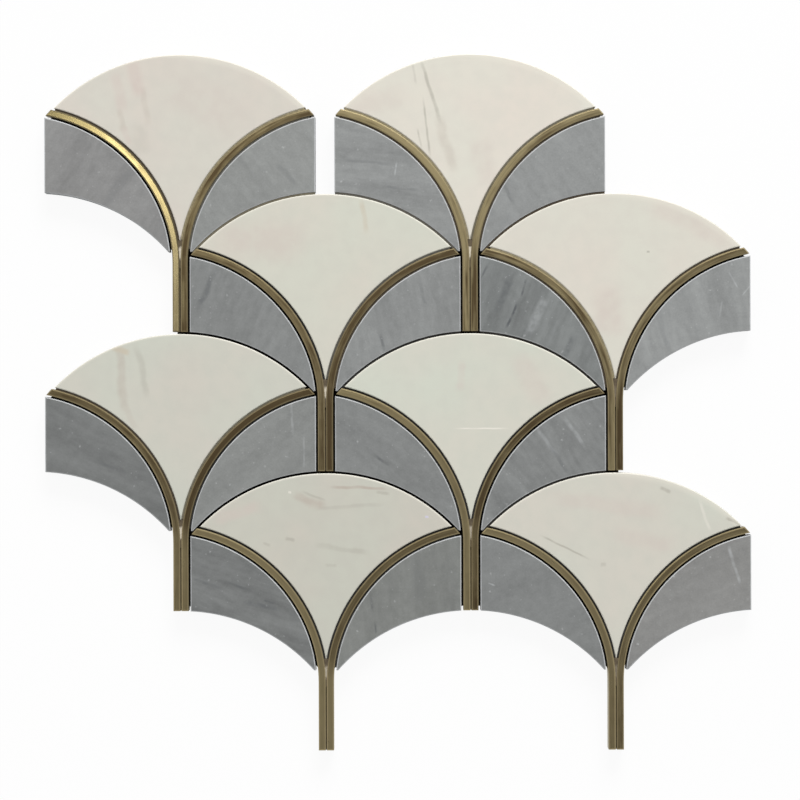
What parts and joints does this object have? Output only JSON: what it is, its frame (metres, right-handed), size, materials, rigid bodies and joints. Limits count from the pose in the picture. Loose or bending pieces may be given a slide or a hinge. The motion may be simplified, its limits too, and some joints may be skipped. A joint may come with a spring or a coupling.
{
  "type": "waterjet mosaic tile",
  "caption": "Interlocking fan mosaic sheet: waterjet-cut white marble fans and grey marble wings parted by bent brass strips, held by a glass-fibre net on the back.",
  "frame": {"origin": "under the middle of the sheet, on the back of its net, where it lies on the floor", "axes": "+Z out of the finished face, +Y up the wall towards the tops of the fans, +X along the rows"},
  "size_m": [0.3042, 0.3, 0.0105],
  "materials": {
    "white_marble": "honed, warm white",
    "grey_marble": "honed, streaked grey",
    "brass": "brushed, slightly aged",
    "glass_net": "woven glass fibre"
  },
  "bodies": {
    "root": {"white_fan_r1a": "white_marble", "grey_wing_r1a_left": "grey_marble", "brass_strip_r1a_left": "brass", "grey_wing_r1a_right": "grey_marble", "brass_strip_r1a_right": "brass", "white_fan_r1b": "white_marble", "grey_wing_r1b_left": "grey_marble", "brass_strip_r1b_left": "brass", "grey_wing_r1b_right": "grey_marble", "brass_strip_r1b_right": "brass", "white_fan_r2a": "white_marble", "grey_wing_r2a_left": "grey_marble", "brass_strip_r2a_left": "brass", "grey_wing_r2a_right": "grey_marble", "brass_strip_r2a_right": "brass", "white_fan_r2b": "white_marble", "grey_wing_r2b_left": "grey_marble", "brass_strip_r2b_left": "brass", "grey_wing_r2b_right": "grey_marble", "brass_strip_r2b_right": "brass", "white_fan_r3a": "white_marble", "grey_wing_r3a_left": "grey_marble", "brass_strip_r3a_left": "brass", "grey_wing_r3a_right": "grey_marble", "brass_strip_r3a_right": "brass", "white_fan_r3b": "white_marble", "grey_wing_r3b_left": "grey_marble", "brass_strip_r3b_left": "brass", "grey_wing_r3b_right": "grey_marble", "brass_strip_r3b_right": "brass", "white_fan_r4a": "white_marble", "grey_wing_r4a_left": "grey_marble", "brass_strip_r4a_left": "brass", "grey_wing_r4a_right": "grey_marble", "brass_strip_r4a_right": "brass", "white_fan_r4b": "white_marble", "grey_wing_r4b_left": "grey_marble", "brass_strip_r4b_left": "brass", "grey_wing_r4b_right": "grey_marble", "brass_strip_r4b_right": "brass", "backing_net": "glass_net"}
  },
  "joints": []
}
